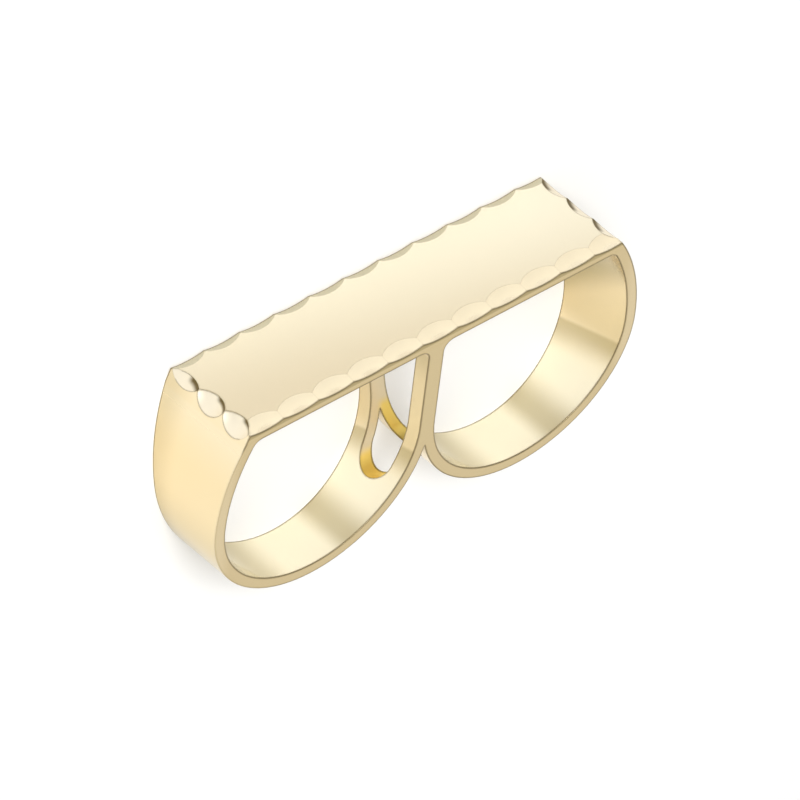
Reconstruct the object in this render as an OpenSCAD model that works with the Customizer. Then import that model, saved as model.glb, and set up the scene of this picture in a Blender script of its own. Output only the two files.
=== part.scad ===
// Double ring for two fingers: a flat plate with scooped edges over two open loops.
// It is one casting. It lies on its back side, as a ring lies when it is put down.
// The shape is drawn worn way up: x along the plate, y from front to back, z up,
// with z = 0 on the plate's polished top. The last module lays it on its side.

/* [Plate] */
// Length of the plate at its top
plate_len = 35; // [34.4:0.1:35.6]
// Width of the plate, front to back
plate_w = 9.5; // [9.3:0.1:10]
// Thickness of the plate
plate_t = 1.05; // [1:0.05:1.4]

/* [Loops] */
// Width of each finger hole
hole_w = 18.4; // [17.9:0.1:18.9]
// Thickness of the wall round each hole
wall_t = 0.95; // [0.9:0.05:1.2]
// Depth of the widest level of the holes below the plate's top
hole_drop = 9.4; // [8.9:0.1:9.8]
// Thickness of the pillar between the holes
pillar_t = 1.4; // [1.3:0.1:1.8]
// Width of the band at the bottom of each loop
band_w = 4.6; // [4:0.1:5]
// Radius of the inner corners under the plate
corner_r = 0.9; // [0.6:0.1:1.3]

/* [Slot through the pillar] */
// Depth of the slot's round end below the plate's top
slot_depth = 15.4; // [14.8:0.1:15.6]
// Radius of the slot's round end
slot_end_r = 1.7; // [1.6:0.05:2]
// Lean of each side of the slot, in degrees
slot_flare = 7.2; // [6:0.2:8]
// Metal left between the plate and the slot
slot_land = 0.3; // [0.2:0.1:0.6]

/* [Scoops along the plate's long edges] */
// Number of scoops on each long edge
long_count = 11; // [11:1:11]
// Distance between scoops on a long edge
long_pitch = 3.28; // [3.2:0.01:3.32]
// Shift of the rows of scoops to the right
long_shift = 0.3; // [0:0.05:0.4]
// Reach of a front scoop into the top
front_in = 1.44; // [1.3:0.02:1.6]
// Start of the ridges between front scoops, inside the edge
front_ridge = 0.8; // [0.7:0.02:1]
// Reach of a front scoop down the side
front_down = 0.42; // [0.36:0.01:0.5]
// Reach of a back scoop into the top
back_in = 0.76; // [0.7:0.02:1]
// Start of the ridges between back scoops, inside the edge
back_ridge = 0.16; // [0.1:0.02:0.3]
// Reach of a back scoop down the side
back_down = 0.22; // [0.18:0.01:0.3]

/* [Scoops along the plate's short edges] */
// Distance between scoops on a short edge
short_pitch = 3.03; // [2.98:0.01:3.06]
// Reach of each left end scoop into the top, back to front
left_in = [0.54, 0.7, 0.68]; // [0.5:0.02:0.9]
// Reach of each left end scoop down the wall, back to front
left_down = [0.76, 1.24, 1.3]; // [0.7:0.02:1.4]
// Reach of each right end scoop into the top, back to front
right_in = [0.56, 0.56, 0.56]; // [0.5:0.02:0.8]
// Reach of each right end scoop down the wall, back to front
right_down = [0.6, 0.6, 0.6]; // [0.5:0.02:0.9]
// Flat left at the points between the end scoops
end_land = 0.06; // [0.04:0.01:0.1]

/* [Hidden] */

hole_r = hole_w / 2;
loop_r = hole_r + wall_t;
// middle of each loop, from the middle of the plate
loop_x = pillar_t / 2 + hole_r;
// how far the loops stand out past the plate's ends
bulge = loop_x + loop_r - plate_len / 2;
// radius of the walls that lean in to the plate's ends
lean_r = (hole_drop * hole_drop + bulge * bulge) / (2 * bulge);
lean_x = plate_len / 2 + bulge - lean_r;
// lean of that wall where it meets the plate's top, in degrees
top_lean = asin(hole_drop / lean_r);
total_drop = hole_drop + loop_r;
// narrowing of each side, from the plate's underside to the bottom of the loops
side_in = (plate_w - band_w) / 2;
side_run = total_drop - plate_t;
lie_angle = atan(side_in / side_run);
// height and place of the worn middle of the plate's top once the ring lies down
lie_up = plate_w / 2 * cos(lie_angle) + plate_t * sin(lie_angle);
lie_front = -plate_w / 2 * sin(lie_angle);
lie_back = total_drop * cos(lie_angle) + (plate_w / 2 - side_in) * sin(lie_angle);
slot_end_z = slot_end_r - slot_depth;
eps = 0.5;
$fn = 96;

// outline of one loop and half of the plate, seen from the front
module half_outline() {
  intersection() {
    translate([lean_x, -hole_drop]) circle(r = lean_r);
    translate([-eps, -hole_drop]) square([plate_len, hole_drop]);
  }
  intersection() {
    translate([loop_x, -hole_drop]) circle(r = loop_r);
    translate([loop_x - 2 * loop_r, -hole_drop - 2 * loop_r]) square([4 * loop_r, 2 * loop_r]);
  }
}

// the hole above its widest level: an upright wall at the pillar, a leaning wall outside
module hole_top() {
  fillet_z = -plate_t - corner_r;
  inner_lean = lean_r - wall_t;
  reach = inner_lean - corner_r;
  lean_z = fillet_z + hole_drop;
  lean_c = lean_x + sqrt(reach * reach - lean_z * lean_z);
  lean_a = asin(lean_z / reach);
  difference() {
    intersection() {
      translate([lean_x, -hole_drop]) circle(r = inner_lean);
      translate([pillar_t / 2, -hole_drop]) square([plate_len, hole_drop - plate_t]);
    }
    // rounding of the corner at the pillar
    difference() {
      translate([pillar_t / 2 - eps, fillet_z]) square([corner_r + eps, corner_r + eps]);
      translate([pillar_t / 2 + corner_r, fillet_z]) circle(r = corner_r);
    }
    // rounding of the corner at the leaning wall
    translate([lean_c, fillet_z]) difference() {
      polygon([
        [0, 0],
        [3 * corner_r * cos(lean_a), 3 * corner_r * sin(lean_a)],
        [3 * corner_r, 3 * corner_r],
        [0, 3 * corner_r]
      ]);
      circle(r = corner_r);
    }
  }
}

// finger hole of the right loop
module finger_hole() {
  hole_top();
  intersection() {
    translate([loop_x, -hole_drop]) circle(r = hole_r);
    translate([loop_x - 2 * hole_r, -hole_drop - 2 * hole_r]) square([4 * hole_r, 2 * hole_r]);
  }
}

// the plate and both loops, seen from the front
module front_outline() {
  difference() {
    union() {
      half_outline();
      mirror([1, 0]) half_outline();
    }
    finger_hole();
    mirror([1, 0]) finger_hole();
  }
}

// the tapering sides, seen from the left
module side_outline() {
  over = total_drop + eps;
  low = plate_w / 2 - side_in - eps * side_in / side_run;
  polygon([
    [-plate_w / 2, 0],
    [plate_w / 2, 0],
    [plate_w / 2, -plate_t],
    [low, -over],
    [-low, -over],
    [-plate_w / 2, -plate_t]
  ]);
}

// the opening between the front and back legs of the pillar, seen from the left
module slot_outline() {
  top = -plate_t - slot_land;
  half = slot_end_r + (top - slot_end_z) * tan(slot_flare);
  translate([0, slot_end_z]) circle(r = slot_end_r);
  polygon([[-half, top], [half, top], [slot_end_r, slot_end_z], [-slot_end_r, slot_end_z]]);
}

// a ball that cuts one scoop across an edge: the edge runs along x at y = 0, z = 0, with
// the metal at y > 0 and the side leaning out by lean; into is the scoop's reach into the
// top, ridge is where it meets the next scoop and down is its reach down the side
module scoop(pitch, into, ridge, down, lean) {
  rise = into - ridge;
  top_r = (pitch * pitch / 4 + rise * rise) / (2 * rise);
  out = top_r - into;
  up = (top_r * top_r - out * out + 2 * out * down * sin(lean) - down * down) / (2 * down * cos(lean));
  // turned so that the ball's poles stay clear of the metal
  translate([0, -out, up]) rotate([90, 0, 0]) sphere(r = sqrt(top_r * top_r + up * up), $fn = 72);
}

// scoops along the front edge of the plate
module long_row(into, ridge, down) {
  for (i = [0 : long_count - 1])
    translate([(i - (long_count - 1) / 2) * long_pitch, -plate_w / 2, 0])
      scoop(long_pitch, into, ridge, down, 0);
}

// scoops along the left edge of the plate, back to front
module short_row(into, down) {
  for (i = [0 : 2])
    translate([-plate_len / 2, (1 - i) * short_pitch, 0])
      rotate([0, 0, -90])
        scoop(short_pitch, into[i], end_land, down[i], top_lean);
}

// the ring, worn way up
module worn_ring() {
  difference() {
    intersection() {
      rotate([90, 0, 0]) linear_extrude(height = plate_w + 2, center = true) front_outline();
      rotate([90, 0, 90]) linear_extrude(height = 2 * plate_len, center = true) side_outline();
    }
    rotate([90, 0, 90]) linear_extrude(height = 8, center = true) slot_outline();
    translate([long_shift, 0, 0]) long_row(front_in, front_ridge, front_down);
    translate([long_shift, 0, 0]) rotate([0, 0, 180]) long_row(back_in, back_ridge, back_down);
    short_row(left_in, left_down);
    mirror([1, 0, 0]) short_row(right_in, right_down);
  }
}

// the ring laid on its back side, on the plate's back edge and the backs of the loops
module double_ring() {
  color([0.93, 0.84, 0.6])
    translate([0, -(lie_front + lie_back) / 2, lie_up])
      rotate([-lie_angle, 0, 0])
        rotate([90, 180, 0])
          worn_ring();
}

double_ring();
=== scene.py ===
"""Polished double ring lying on its back side on a pale floor, seen at the photo's angle."""

import math

import bpy
from mathutils import Matrix, Vector

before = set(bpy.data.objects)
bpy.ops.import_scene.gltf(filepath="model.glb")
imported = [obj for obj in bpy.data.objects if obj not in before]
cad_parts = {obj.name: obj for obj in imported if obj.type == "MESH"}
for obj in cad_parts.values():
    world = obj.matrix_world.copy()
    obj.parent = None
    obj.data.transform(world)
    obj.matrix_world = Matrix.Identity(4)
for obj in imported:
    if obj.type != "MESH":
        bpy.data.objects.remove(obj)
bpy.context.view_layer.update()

bl_info = {
    "name": "Double ring",
    "version": (1, 0, 0),
    "blender": (4, 5, 0),
    "location": "3D View > Sidebar > Double ring",
    "description": "Finishes the cast double ring and sets up its studio",
    "category": "Object",
}

NODE = "double_ring"
# How far the ring leans when it lies on its back side, in degrees
LIE_ANGLE = 7.544
# Worn middle of the plate's polished top once the ring lies down
TOP_Y = -0.009530
TOP_Z = 0.004847
# Half length of the plate, and how high the middle of the slot's round end is from the top
PLATE_HALF = 0.0175
SLOT_END = -0.0137
# Distance between the scoops along a short edge
SHORT_PITCH = 0.00303
# Painted reflections in stripes on the bands: angle of the middle, how far each fades down and up in
# degrees, how much it leans in degrees for each metre towards the front, depth
STRIPES = (
    (68.0, 15.0, 3.5, 1400.0, 0.56),
    (22.5, 12.0, 18.0, 0.0, 0.62),
)
# How strongly each painted shade and painted reflection covers the gold under it
LEFT_WALLS = 0.3
CORNER = 0.85
PILLAR_TOP = 0.45
FOOT_LOW = 0.5
FOOT_BACK = 0.32
BACK_PAINTED_REFLECTION = 0.7
SLOT_PALE = 0.7
LIP = 0.6
# What each place adds to the roughness
SLOT_ROUGH = 0.32
SCOOP_ROUGH = 0.2
END_SCOOP_ROUGH = 0.12
EDGE_ROUGH = 0.22
# Reach of the painted dark line along the edges, as a multiple of the edges' radius
EDGE_REACH = 2.4
EDGE_SAMPLES = 8
# Point that the camera looks at, and its place in the photo's pixels
AIM = (-0.0001, -0.00173, 0.00375)
AIM_PIXEL = (397.3, 382.6)
PHOTO_PIXELS = 800.0
SENSOR = 36.0
# Towards the lights and the dim part of the room
TOP_LIGHT_WAY = (0.35, -0.60, 1.0)
LOW_LIGHT_WAY = (-0.47, -0.88, 0.22)
DIM_WAY = (-0.48, -0.55, 0.68)
# Settings in the panel, and the operator that uses them
GROUPS = (
    ("double_ring_finish", "double_ring.finish"),
    ("double_ring_stage", "double_ring.stage"),
)


class RingFinish(bpy.types.PropertyGroup):
    """Colours of the ring's gold and its polish, with the colours of its painted sheen, shade and
    reflections.
    """

    gold: bpy.props.FloatVectorProperty(
        name="Gold",
        description="Colour of the plating on the walls",
        subtype="COLOR",
        min=0.0,
        max=1.0,
        default=(0.90, 0.735, 0.45),
    )
    # painted sheen: a paler copy of the gold for the surfaces that face up
    pale: bpy.props.FloatVectorProperty(
        name="Pale gold",
        description="Colour of the polished top towards its right end and of the bands' sides",
        subtype="COLOR",
        min=0.0,
        max=1.0,
        default=(0.935, 0.865, 0.685),
    )
    # painted reflection: a darker copy of the pale gold towards the top's front left
    pale_left: bpy.props.FloatVectorProperty(
        name="Pale gold at the left",
        description="Colour of the polished top towards its left end",
        subtype="COLOR",
        min=0.0,
        max=1.0,
        default=(0.75, 0.645, 0.455),
    )
    # painted highlight: the scoops along the short edges nearly white
    bright: bpy.props.FloatVectorProperty(
        name="End scoops",
        description="Colour of the scoops along the short edges",
        subtype="COLOR",
        min=0.0,
        max=1.0,
        default=(0.90, 0.82, 0.66),
    )
    # painted reflection: the bands palest at the bottom of the loops
    band: bpy.props.FloatVectorProperty(
        name="Bands",
        description="Colour of the bands at the bottom of the loops",
        subtype="COLOR",
        min=0.0,
        max=1.0,
        default=(0.97, 0.90, 0.70),
    )
    # painted reflection: the long scoops and the slot's upper walls lighter than the top
    scoop: bpy.props.FloatVectorProperty(
        name="Scoops",
        description="Colour of the scoops along the long edges and of the slot's upper walls",
        subtype="COLOR",
        min=0.0,
        max=1.0,
        default=(0.94, 0.825, 0.60),
    )
    # painted shade: a deeper copy of the gold for the narrow front and back faces
    face_gold: bpy.props.FloatVectorProperty(
        name="Face gold",
        description="Colour of the narrow front and back faces",
        subtype="COLOR",
        min=0.0,
        max=1.0,
        default=(0.81, 0.645, 0.362),
    )
    # painted shade and painted dark reflection: a darker copy of the gold for the band stripes, the
    # shaded walls and the line under the front scoops
    stripe: bpy.props.FloatVectorProperty(
        name="Stripes",
        description="Colour of the soft stripes on the bands and of shaded walls",
        subtype="COLOR",
        min=0.0,
        max=1.0,
        default=(0.42, 0.34, 0.16),
    )
    # painted dark reflection on the scoops along the back edge
    back_painted_reflection: bpy.props.FloatVectorProperty(
        name="Back reflection",
        description="Colour of the scoops along the back edge",
        subtype="COLOR",
        min=0.0,
        max=1.0,
        default=(0.50, 0.47, 0.34),
    )
    # painted reflection: deeper gold low in the slot, for the light that bounces between its walls; the
    # slot's casting is also less polished
    deep: bpy.props.FloatVectorProperty(
        name="Deep gold",
        description="Colour of the unpolished casting inside the slot",
        subtype="COLOR",
        min=0.0,
        max=1.0,
        default=(1.0, 0.77, 0.22),
    )
    # painted dark reflection along the edges and on the steep side of each end scoop
    dark_reflection: bpy.props.FloatVectorProperty(
        name="Dark reflection",
        description="Colour that the polish leaves along the edges and deep in the end scoops",
        subtype="COLOR",
        min=0.0,
        max=1.0,
        default=(0.17, 0.125, 0.05),
    )
    # strength of the painted dark reflection along the edges
    edge_dark: bpy.props.FloatProperty(
        name="Dark edges",
        description="How dark the thin line along the edges is",
        min=0.0,
        max=1.0,
        default=0.7,
    )
    roughness: bpy.props.FloatProperty(
        name="Roughness",
        description="Softness of the polish",
        min=0.02,
        max=0.6,
        default=0.16,
    )
    edge_soft: bpy.props.FloatProperty(
        name="Soft edges",
        description="Radius that the polish leaves on all edges",
        subtype="DISTANCE",
        unit="LENGTH",
        min=0.0,
        max=0.0003,
        precision=5,
        default=0.00011,
    )


class StageSettings(bpy.types.PropertyGroup):
    """Floor, light and camera."""

    floor_colour: bpy.props.FloatVectorProperty(
        name="Floor",
        description="Colour of the floor",
        subtype="COLOR",
        min=0.0,
        max=1.0,
        default=(0.74, 0.74, 0.735),
    )
    glow: bpy.props.FloatProperty(
        name="Light table",
        description="Light that the floor gives off by itself, which keeps the shadows soft",
        min=0.0,
        max=2.0,
        default=0.21,
    )
    sky: bpy.props.FloatProperty(
        name="Room light",
        description="Brightness of the white room",
        min=0.0,
        max=5.0,
        default=0.80,
    )
    dim: bpy.props.FloatProperty(
        name="Dim side",
        description="How much darker the room is above the front left",
        min=0.0,
        max=1.0,
        default=0.75,
    )
    key_light: bpy.props.FloatProperty(
        name="Top light",
        description="Power of the large soft light overhead",
        subtype="POWER",
        min=0.0,
        max=20.0,
        default=1.5,
    )
    low_light: bpy.props.FloatProperty(
        name="Low light",
        description="Power of the low soft light at the front left",
        subtype="POWER",
        min=0.0,
        max=20.0,
        default=0.06,
    )
    azimuth: bpy.props.FloatProperty(
        name="Camera azimuth",
        description="Angle of the camera round the worn ring, from its front towards its left end",
        default=39.16,
        min=-180.0,
        max=180.0,
    )
    elevation: bpy.props.FloatProperty(
        name="Camera elevation",
        description="Angle of the camera above the worn ring's plate",
        default=41.0,
        min=-90.0,
        max=90.0,
    )
    roll: bpy.props.FloatProperty(
        name="Camera roll",
        description="Turn of the camera about its line of sight",
        default=0.40,
        min=-180.0,
        max=180.0,
    )
    distance: bpy.props.FloatProperty(
        name="Camera distance",
        description="Distance from the camera to the ring",
        subtype="DISTANCE",
        unit="LENGTH",
        min=0.1,
        max=3.0,
        default=0.875,
    )
    width: bpy.props.FloatProperty(
        name="Picture width",
        description="Width of what the camera sees at the ring",
        subtype="DISTANCE",
        unit="LENGTH",
        min=0.03,
        max=0.2,
        precision=4,
        default=0.05945,
    )


class Socket:
    """A node's output that takes part in Python expressions."""

    def __init__(self, tree, link):
        self.tree = tree
        self.link = link

    def node(self, kind, settings=None, **inputs):
        """Adds a node with these settings and inputs, given by number or by name with _ for a space."""
        made = self.tree.nodes.new(kind)
        for name, value in (settings or {}).items():
            setattr(made, name, value)
        for name, value in inputs.items():
            number = name[1:]
            socket = made.inputs[int(number) if number.isdigit() else name.replace("_", " ")]
            if isinstance(value, Socket):
                self.tree.links.new(value.link, socket)
            else:
                socket.default_value = value
        return made

    def maths(self, operation, first, second):
        made = self.node("ShaderNodeMath", {"operation": operation}, i0=first, i1=second)
        return Socket(self.tree, made.outputs[0])

    def __add__(self, other):
        return self.maths("ADD", self, other)

    __radd__ = __add__

    def __sub__(self, other):
        return self.maths("SUBTRACT", self, other)

    def __rsub__(self, other):
        return self.maths("SUBTRACT", other, self)

    def __mul__(self, other):
        return self.maths("MULTIPLY", self, other)

    __rmul__ = __mul__

    def __abs__(self):
        return self.maths("ABSOLUTE", self, 0.0)

    def ramp(self, start, end):
        """Goes smoothly from 0 where the value is start to 1 where it is end."""
        made = self.node(
            "ShaderNodeMapRange",
            {"interpolation_type": "SMOOTHSTEP"},
            i0=self,
            i1=min(start, end),
            i2=max(start, end),
            i3=0.0 if start < end else 1.0,
            i4=1.0 if start < end else 0.0,
        )
        return Socket(self.tree, made.outputs[0])

    def either(self, other):
        """Covers what this mask or the other covers."""
        return self + other - self * other

    def wrap(self, low, high):
        made = self.node("ShaderNodeMath", {"operation": "WRAP"}, i0=self, i1=high, i2=low)
        return Socket(self.tree, made.outputs[0])

    def dot(self, direction):
        second = direction if isinstance(direction, Socket) else tuple(direction)
        made = self.node("ShaderNodeVectorMath", {"operation": "DOT_PRODUCT"}, i0=self, i1=second)
        return Socket(self.tree, made.outputs["Value"])

    def mix(self, first, second):
        """Goes from the first colour to the second as this value goes from 0 to 1."""
        ends = [end if isinstance(end, Socket) else (*end, 1.0) for end in (first, second)]
        made = self.node("ShaderNodeMix", {"data_type": "RGBA"}, i0=self, i6=ends[0], i7=ends[1])
        return Socket(self.tree, made.outputs[2])


def to_row(x, y, z):
    """A direction on the worn ring, as it points once the ring lies down."""
    lean = math.radians(LIE_ANGLE)
    a, b, c = -x, -z, -y
    return Vector((a, b * math.cos(lean) + c * math.sin(lean), -b * math.sin(lean) + c * math.cos(lean)))


def new_material(name):
    material = bpy.data.materials.new(name)
    material.use_nodes = True
    material.node_tree.nodes.clear()
    return material


class WornRing:
    """Where a point is on the worn ring, in metres from the middle of its top, and what it faces."""

    def __init__(self, tree, edge_soft):
        start = Socket(tree, None)
        spot = Socket(tree, start.node("ShaderNodeTexCoord").outputs["Object"])
        facing = Socket(tree, start.node("ShaderNodeNewGeometry").outputs["Normal"])
        rounded = start.node("ShaderNodeBevel", {"samples": EDGE_SAMPLES}, Radius=edge_soft)
        wide = start.node("ShaderNodeBevel", {"samples": EDGE_SAMPLES}, Radius=edge_soft * EDGE_REACH)
        right = to_row(1.0, 0.0, 0.0)
        front = to_row(0.0, -1.0, 0.0)
        up = to_row(0.0, 0.0, 1.0)
        top = Vector((0.0, TOP_Y, TOP_Z))
        self.along = spot.dot(right) - top.dot(right)
        self.forward = spot.dot(front) - top.dot(front)
        self.height = spot.dot(up) - top.dot(up)
        self.faces_right = facing.dot(right)
        self.faces_left = facing.dot(-right)
        self.faces_front = facing.dot(front)
        self.faces_up = facing.dot(up)
        self.faces_end = abs(self.faces_right)
        self.rounded = Socket(tree, rounded.outputs[0])
        wide = Socket(tree, wide.outputs[0])
        self.wide_right = wide.dot(right)
        self.wide_front = wide.dot(front)
        self.bend = 1.0 - wide.dot(facing)


def long_scoops(ring):
    """Covers the scoops along the long edges."""
    tilted = ring.faces_up.ramp(0.985, 0.965) * ring.faces_up.ramp(0.25, 0.35)
    return tilted * ring.height.ramp(-0.0020, -0.0016)


def end_scoops(ring):
    """Covers the scoops along the short edges."""
    at_end = abs(ring.along).ramp(PLATE_HALF - 0.0014, PLATE_HALF - 0.0012)
    at_end = at_end * ring.height.ramp(-0.0016, -0.0014)
    tilted = abs(ring.faces_front).ramp(0.02, 0.06).either(ring.faces_up.ramp(0.51, 0.55))
    return at_end * ring.faces_end.ramp(0.15, 0.30) * tilted


def dips(ring, scooped):
    """Covers the side of each end scoop that dips steeply from the top, for a painted dark reflection
    there.
    """
    side = ring.along.ramp(-0.001, 0.001) * 2.0 - 1.0
    from_middle = ring.forward.wrap(-SHORT_PITCH / 2.0, SHORT_PITCH / 2.0)
    return ring.height.ramp(-0.00040, -0.00010) * scooped * (from_middle * side).ramp(0.0002, -0.0004)


def slot_walls(ring):
    """Covers the slot's own walls, which stand further in than the ring's front and back."""
    inside = (abs(ring.forward) - (ring.height - SLOT_END) * 0.126).ramp(0.0024, 0.0021)
    inside = inside * ring.faces_end.ramp(0.12, 0.04)
    return inside * abs(ring.along).ramp(0.0036, 0.0032) * ring.height.ramp(-0.0010, -0.0013)


def slot_bottom(ring):
    """Covers what lies low in the slot: more of it on the right."""
    right_side = ring.along.ramp(-0.0004, 0.0004)
    low_right = right_side * ring.height.ramp(-0.0106, -0.0116)
    return low_right + (1.0 - right_side) * ring.height.ramp(-0.0142, -0.0149)


def stripes_on_bands(ring):
    """Covers the bands in soft stripes of painted dark reflection, as the bands mirror the loop's dark
    sides.
    """
    on_band = ring.faces_end.ramp(0.0, 0.02) * ring.faces_up.ramp(0.1, 0.2)
    on_band = on_band * ring.height.ramp(-0.0080, -0.0090)
    stripes = ring.faces_right.ramp(0.15, 0.55) * 0.66 - ring.faces_right.ramp(0.66, 0.80) * 0.25
    # angle round the loop in degrees, from its bottom towards the right
    angle = ring.faces_left.maths("ARCTAN2", ring.faces_left, ring.faces_up) * math.degrees(1.0)
    for middle, lower_side, upper_side, slant, depth in STRIPES:
        off = angle - ring.forward * slant - middle
        stripes = off.ramp(-lower_side, -1.0) * off.ramp(upper_side, 1.0) * depth + stripes
    return stripes * on_band


def edge_line(ring, cut):
    """Covers a thin painted dark reflection along the edges."""
    # fainter on the ridges between the scoops
    ridge = cut * abs(ring.forward).ramp(0.00385, 0.00405) * abs(ring.forward).ramp(0.00468, 0.00452)
    # and along the front of the left end's wall
    left_side = ring.wide_right.ramp(-0.10, -0.40) * ring.wide_front.ramp(0.10, 0.30)
    left_side = left_side * ring.along.ramp(-0.0120, -0.0150) * ring.height.ramp(-0.0012, -0.0018)
    return ring.bend.ramp(0.003, 0.05) * (1.0 - ridge * 0.75) * (1.0 - left_side * 0.8)


def gold_with_painted_sheen(ring, finish, cut):
    """Colour of the polished top, the scoops, the bands and the walls, with painted sheen, reflections
    and shade, before the other marks.
    """
    # painted reflection: the polished top shades from bright at its back right corner to darker at its
    # front left corner, and the long scoops take a lighter colour of their own
    shade = (ring.along - ring.forward * 4.3).ramp(-0.030, 0.028)
    top_colour = cut.mix(shade.mix(finish.pale_left, finish.pale), finish.scoop)
    # painted reflection: the bands are pale, most of all at the bottom of the loops
    top_colour = ring.height.ramp(-0.0010, -0.0014).mix(top_colour, finish.pale)
    top_colour = ring.height.ramp(-0.0125, -0.0145).mix(top_colour, finish.band)
    # painted shade: narrow front and back faces are deeper than the walls, but not where the loops are
    # widest
    widest = abs(ring.along).ramp(0.0180, 0.0195) * 0.9
    face = abs(ring.faces_front).ramp(0.85, 0.95) * (1.0 - widest)
    walls = face.mix(finish.gold, finish.face_gold)
    # painted sheen: surfaces that face up take the paler colours, the walls the deeper gold
    return ring.faces_up.ramp(0.2, 0.7).mix(walls, top_colour)


def shade_walls(ring, finish, colour):
    """Paints shade on the walls that the worn ring shades, by deepening their colour."""
    # walls that face left inside the loops
    inner = ring.faces_right.ramp(-0.88, -0.97) * ring.height.ramp(-0.0070, -0.0080)
    inner = inner + ring.faces_right.ramp(-0.80, -0.86) * ring.height.ramp(-0.0080, -0.0070)
    inner = inner * ring.along.ramp(-0.0030, -0.0020)
    # the corner under the plate's right end
    corner = ring.faces_right.ramp(-0.10, -0.30) * ring.along.ramp(0.0100, 0.0120)
    corner = corner * (ring.height - ring.forward * 0.75).ramp(-0.0094, -0.0062)
    corner = corner * ring.height.ramp(-0.0008, -0.0011)
    # the top of the pillar
    pillar = ring.faces_end.ramp(0.80, 0.90) * abs(ring.along).ramp(0.0012, 0.0009)
    pillar = pillar * ring.height.ramp(-0.0055, -0.0015)
    # the left end, at its foot and back
    end = ring.along.ramp(-0.0110, -0.0165) * ring.faces_right.ramp(-0.10, -0.60)
    foot = ring.height.ramp(-0.0075, -0.0145) * FOOT_LOW + ring.forward.ramp(-0.0012, -0.0042) * FOOT_BACK
    for mask in (inner * LEFT_WALLS, corner * CORNER, pillar * PILLAR_TOP, foot * end):
        colour = mask.mix(colour, finish.stripe)
    return colour


def gold_material(finish):
    """Polished gold with painted light: a paler painted sheen on top, painted dark reflections along the
    edges and at the ends of the scoops, and a deep slot with painted reflection.
    """
    material = new_material("pale_gold")
    tree = material.node_tree
    ring = WornRing(tree, finish.edge_soft)
    cut = long_scoops(ring)
    scooped = end_scoops(ring)
    slot = slot_walls(ring)
    edge = edge_line(ring, cut)

    colour = gold_with_painted_sheen(ring, finish, cut)
    colour = stripes_on_bands(ring).mix(colour, finish.stripe)
    colour = shade_walls(ring, finish, colour)
    # painted dark reflection: the scoops along the back edge turn grey
    back_scoops = ring.faces_front.ramp(-0.10, -0.22) * ring.faces_up.ramp(0.80, 0.88)
    colour = (back_scoops * BACK_PAINTED_REFLECTION).mix(colour, finish.back_painted_reflection)
    # painted reflection: the slot's walls take the scoops' lighter colour
    colour = (slot * SLOT_PALE).mix(colour, finish.scoop)
    # painted reflection: deeper gold low in the slot, for the light that bounces between its walls
    colour = (slot * slot_bottom(ring)).mix(colour, finish.deep)
    # painted highlight: the scoops along the short edges turn nearly white
    colour = scooped.mix(colour, finish.bright)
    # painted dark reflection on the steep side of each end scoop
    colour = dips(ring, scooped).mix(colour, finish.dark_reflection)
    # painted dark reflection: a dark line right under the front scoops
    lip = ring.height.ramp(-0.00068, -0.00048) * ring.faces_front.ramp(0.9, 0.97)
    colour = (lip * LIP).mix(colour, finish.stripe)
    # painted dark reflection along all edges
    colour = (edge * finish.edge_dark).mix(colour, finish.dark_reflection)

    # the scoops, the slot and the edges are less polished than the rest
    softness = slot * SLOT_ROUGH + cut * SCOOP_ROUGH + scooped * END_SCOOP_ROUGH
    softness = softness + edge * EDGE_ROUGH + finish.roughness
    shader = tree.nodes.new("ShaderNodeBsdfPrincipled")
    shader.inputs["Metallic"].default_value = 1.0
    tree.links.new(softness.link, shader.inputs["Roughness"])
    tree.links.new(colour.link, shader.inputs["Base Color"])
    tree.links.new(ring.rounded.link, shader.inputs["Normal"])
    out = tree.nodes.new("ShaderNodeOutputMaterial")
    tree.links.new(shader.outputs[0], out.inputs["Surface"])
    return material


def area_light(name, way, distance, width, height, power):
    """A flat soft light that shines at the ring from this way."""
    direction = Vector(way)
    bpy.ops.object.light_add(type="AREA", location=direction.normalized() * distance)
    lamp = bpy.context.active_object
    lamp.name = name
    lamp.data.name = name
    lamp.data.shape = "RECTANGLE"
    lamp.data.size = width
    lamp.data.size_y = height
    lamp.data.energy = power
    lamp.rotation_mode = "QUATERNION"
    lamp.rotation_quaternion = direction.to_track_quat("Z", "Y")
    lamp.visible_camera = False


def white_room(settings):
    """A white room that is dimmer high up at the front left, which the rounded edges mirror."""
    world = bpy.data.worlds.new("white_room")
    world.use_nodes = True
    tree = world.node_tree
    tree.nodes.clear()
    start = Socket(tree, None)
    way = Socket(tree, start.node("ShaderNodeTexCoord").outputs["Generated"])
    dim = way.dot(Vector(DIM_WAY).normalized()).ramp(0.80, 0.96) * settings.dim
    strength = (1.0 - dim) * settings.sky
    shade = start.node("ShaderNodeBackground", None, Color=(1.0, 1.0, 0.99, 1.0), Strength=strength)
    out = tree.nodes.new("ShaderNodeOutputWorld")
    tree.links.new(shade.outputs[0], out.inputs["Surface"])
    return world


def add_floor(settings):
    bpy.ops.mesh.primitive_plane_add(size=6.0, location=(0.0, 0.0, 0.0))
    floor = bpy.context.active_object
    floor.name = "floor"
    material = new_material("floor")
    tree = material.node_tree
    shader = tree.nodes.new("ShaderNodeBsdfPrincipled")
    shader.inputs["Base Color"].default_value = (*settings.floor_colour, 1.0)
    shader.inputs["Emission Color"].default_value = (1.0, 1.0, 0.99, 1.0)
    shader.inputs["Emission Strength"].default_value = settings.glow
    shader.inputs["Roughness"].default_value = 0.7
    shader.inputs["Specular IOR Level"].default_value = 0.2
    out = tree.nodes.new("ShaderNodeOutputMaterial")
    tree.links.new(shader.outputs[0], out.inputs["Surface"])
    floor.data.materials.append(material)


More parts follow.
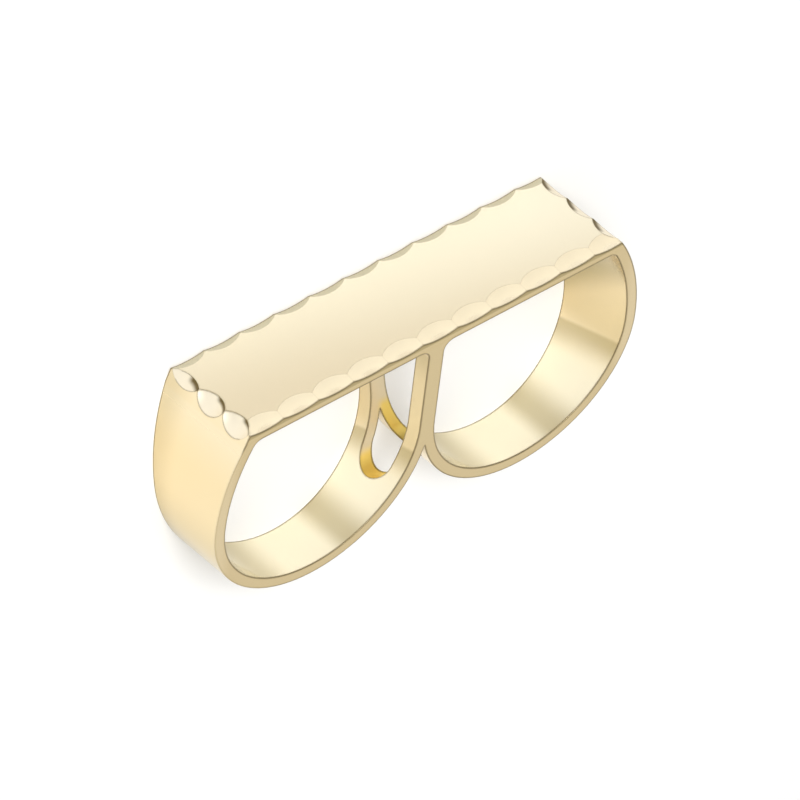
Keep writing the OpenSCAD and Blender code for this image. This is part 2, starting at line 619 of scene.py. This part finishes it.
def add_camera(settings):
    """A camera that sees the ring as the photo does."""
    turn = math.radians(settings.azimuth)
    lift = math.radians(settings.elevation)
    roll = math.radians(settings.roll)
    back = to_row(-math.sin(turn) * math.cos(lift), -math.cos(turn) * math.cos(lift), math.sin(lift))
    level = to_row(math.cos(turn), -math.sin(turn), 0.0)
    steep = back.cross(level)
    right = level * math.cos(roll) + steep * math.sin(roll)
    up = steep * math.cos(roll) - level * math.sin(roll)
    bpy.ops.object.camera_add()
    camera = bpy.context.active_object
    camera.name = "camera"
    camera.matrix_world = (
        Matrix.Translation(Vector(AIM) + back * settings.distance)
        @ Matrix((right, up, back)).transposed().to_4x4()
    )
    camera.data.sensor_width = SENSOR
    camera.data.lens = SENSOR * settings.distance / settings.width
    camera.data.shift_x = (PHOTO_PIXELS / 2.0 - AIM_PIXEL[0]) / PHOTO_PIXELS
    camera.data.shift_y = (AIM_PIXEL[1] - PHOTO_PIXELS / 2.0) / PHOTO_PIXELS
    camera.data.clip_start = 0.01
    camera.data.clip_end = 20.0
    return camera


class DOUBLE_RING_OT_finish(bpy.types.Operator):
    """Gives the cast ring its polished gold, with painted sheen, shade and reflections"""

    bl_idname = "double_ring.finish"
    bl_label = "Finish the ring"

    def execute(self, context):
        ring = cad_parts[NODE]
        material = gold_material(context.scene.double_ring_finish)
        for slot in ring.material_slots:
            slot.material = material
        return {"FINISHED"}


class DOUBLE_RING_OT_stage(bpy.types.Operator):
    """Makes the floor, the lights and the camera"""

    bl_idname = "double_ring.stage"
    bl_label = "Set up the studio"

    def execute(self, context):
        scene = context.scene
        settings = scene.double_ring_stage
        add_floor(settings)
        scene.world = white_room(settings)
        area_light("top_light", TOP_LIGHT_WAY, 0.5, 0.22, 0.22, settings.key_light)
        area_light("low_light", LOW_LIGHT_WAY, 0.4, 0.4, 0.17, settings.low_light)
        scene.camera = add_camera(settings)
        scene.view_settings.view_transform = "Standard"
        scene.view_settings.look = "None"
        return {"FINISHED"}


class DOUBLE_RING_PT_panel(bpy.types.Panel):
    bl_label = "Double ring"
    bl_idname = "DOUBLE_RING_PT_panel"
    bl_space_type = "VIEW_3D"
    bl_region_type = "UI"
    bl_category = "Double ring"

    def draw(self, context):
        layout = self.layout
        for group, operator in GROUPS:
            box = layout.box()
            settings = getattr(context.scene, group)
            for name in settings.bl_rna.properties.keys():
                if name not in ("rna_type", "name"):
                    box.prop(settings, name)
            box.operator(operator)


CLASSES = (RingFinish, StageSettings, DOUBLE_RING_OT_finish, DOUBLE_RING_OT_stage, DOUBLE_RING_PT_panel)


def register():
    for item in CLASSES:
        bpy.utils.register_class(item)
    bpy.types.Scene.double_ring_finish = bpy.props.PointerProperty(type=RingFinish)
    bpy.types.Scene.double_ring_stage = bpy.props.PointerProperty(type=StageSettings)


def unregister():
    del bpy.types.Scene.double_ring_stage
    del bpy.types.Scene.double_ring_finish
    for item in reversed(CLASSES):
        bpy.utils.unregister_class(item)


def main():
    register()
    bpy.ops.double_ring.finish()
    bpy.ops.double_ring.stage()


if __name__ == "__main__":
    main()
